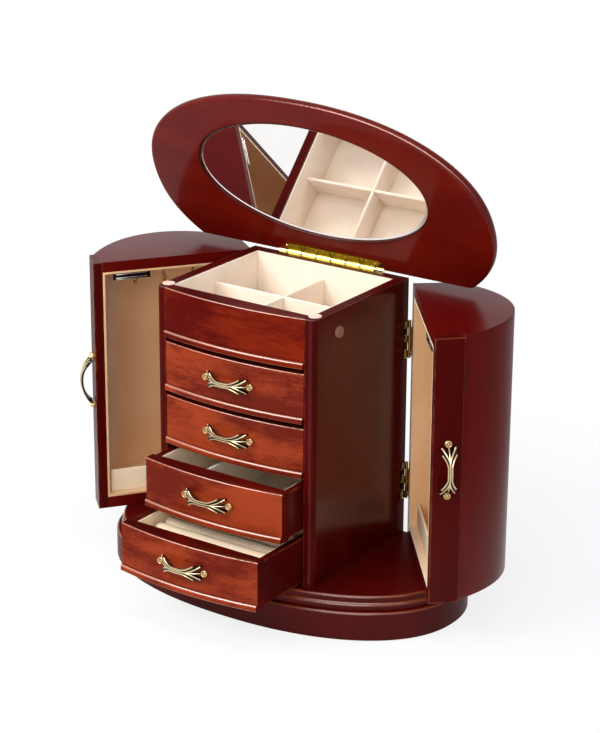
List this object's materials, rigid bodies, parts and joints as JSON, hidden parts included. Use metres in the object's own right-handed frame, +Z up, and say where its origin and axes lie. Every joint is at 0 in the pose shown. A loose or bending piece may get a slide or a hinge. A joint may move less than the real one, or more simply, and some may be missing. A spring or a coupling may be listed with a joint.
{
  "type": "vanity jewellery box",
  "caption": "Oval wooden vanity box with a lift-up mirrored lid over a divided tray, bow-front drawers, and swing-out side doors with necklace hooks.",
  "frame": {"origin": "under the middle of the oval base, on the felt's underside", "axes": "+X to the right along the drawer fronts, -Y out of the front, +Z up"},
  "size_m": [0.4074, 0.2573, 0.4411],
  "materials": {
    "mahogany": "satin lacquer over red-brown mahogany",
    "velvet": "cream velvet",
    "felt": "felt",
    "antique_brass": "antiqued cast brass with dark recesses",
    "gilt_brass": "bright gilt",
    "steel": "plated steel",
    "mirror": "silvered glass"
  },
  "bodies": {
    "cabinet": {"base_felt": "felt", "base_plinth": "mahogany", "base_top_board": "mahogany", "side_panel_left": "mahogany", "side_panel_right": "mahogany", "back_panel": "mahogany", "front_fascia": "mahogany", "tray_floor": "mahogany", "tray_lining": "velvet", "tray_divider_long": "velvet", "tray_divider_cross": "velvet", "drawer_runners": "mahogany", "lid_bumpers": "felt", "door_magnets": "steel", "lid_hinge_lower_leaf": "gilt_brass", "lid_hinge_pin": "gilt_brass", "door_hinge_case_leaves": "antique_brass", "door_hinge_pins": "antique_brass"},
    "lid": {"lid_panel": "mahogany", "mirror": "mirror", "lid_hinge_upper_leaf": "gilt_brass"},
    "door_left": {"door_left_shell": "mahogany", "door_left_end_panels": "mahogany", "door_left_front_stile": "mahogany", "door_left_back_stile": "mahogany", "door_left_lining": "velvet", "door_left_pocket": "velvet", "door_left_hooks": "antique_brass", "door_left_strike": "steel", "door_left_hinge_leaves": "antique_brass", "door_left_pull": "antique_brass"},
    "door_right": {"door_right_shell": "mahogany", "door_right_end_panels": "mahogany", "door_right_front_stile": "mahogany", "door_right_back_stile": "mahogany", "door_right_lining": "velvet", "door_right_pocket": "velvet", "door_right_hooks": "antique_brass", "door_right_strike": "steel", "door_right_hinge_leaves": "antique_brass", "door_right_pull": "antique_brass"},
    "drawer_1": {"drawer_1_front": "mahogany", "drawer_1_case": "mahogany", "drawer_1_lining": "velvet", "drawer_1_pull": "antique_brass"},
    "drawer_2": {"drawer_2_front": "mahogany", "drawer_2_case": "mahogany", "drawer_2_lining": "velvet", "drawer_2_pull": "antique_brass"},
    "drawer_3": {"drawer_3_front": "mahogany", "drawer_3_case": "mahogany", "drawer_3_lining": "velvet", "drawer_3_pull": "antique_brass", "drawer_3_divider": "velvet"},
    "drawer_4": {"drawer_4_front": "mahogany", "drawer_4_case": "mahogany", "drawer_4_lining": "velvet", "drawer_4_pull": "antique_brass", "drawer_4_ring_pad": "velvet"}
  },
  "joints": [
    {"name": "lid_hinge", "type": "hinge", "parent": "cabinet", "child": "lid", "pos_m": [0, 0.0648, 0.28255], "axis": [-1, 0, 0], "range_deg": [-65.7, 34.3]},
    {"name": "door_right_hinge", "type": "hinge", "parent": "cabinet", "child": "door_right", "pos_m": [0.0847, 0.063, 0.15895], "axis": [0, 0, 1], "range_deg": [-39.2, 70.8]},
    {"name": "door_left_hinge", "type": "hinge", "parent": "cabinet", "child": "door_left", "pos_m": [-0.0847, 0.063, 0.15895], "axis": [0, 0, -1], "range_deg": [-36.5, 73.5]},
    {"name": "drawer_1_slide", "type": "slide", "parent": "cabinet", "child": "drawer_1", "axis": [0, -1, 0], "range_m": [0, 0.1]},
    {"name": "drawer_2_slide", "type": "slide", "parent": "cabinet", "child": "drawer_2", "axis": [0, -1, 0], "range_m": [0, 0.1]},
    {"name": "drawer_3_slide", "type": "slide", "parent": "cabinet", "child": "drawer_3", "axis": [0, -1, 0], "range_m": [-0.0307, 0.0693]},
    {"name": "drawer_4_slide", "type": "slide", "parent": "cabinet", "child": "drawer_4", "axis": [0, -1, 0], "range_m": [-0.0659, 0.0341]}
  ]
}
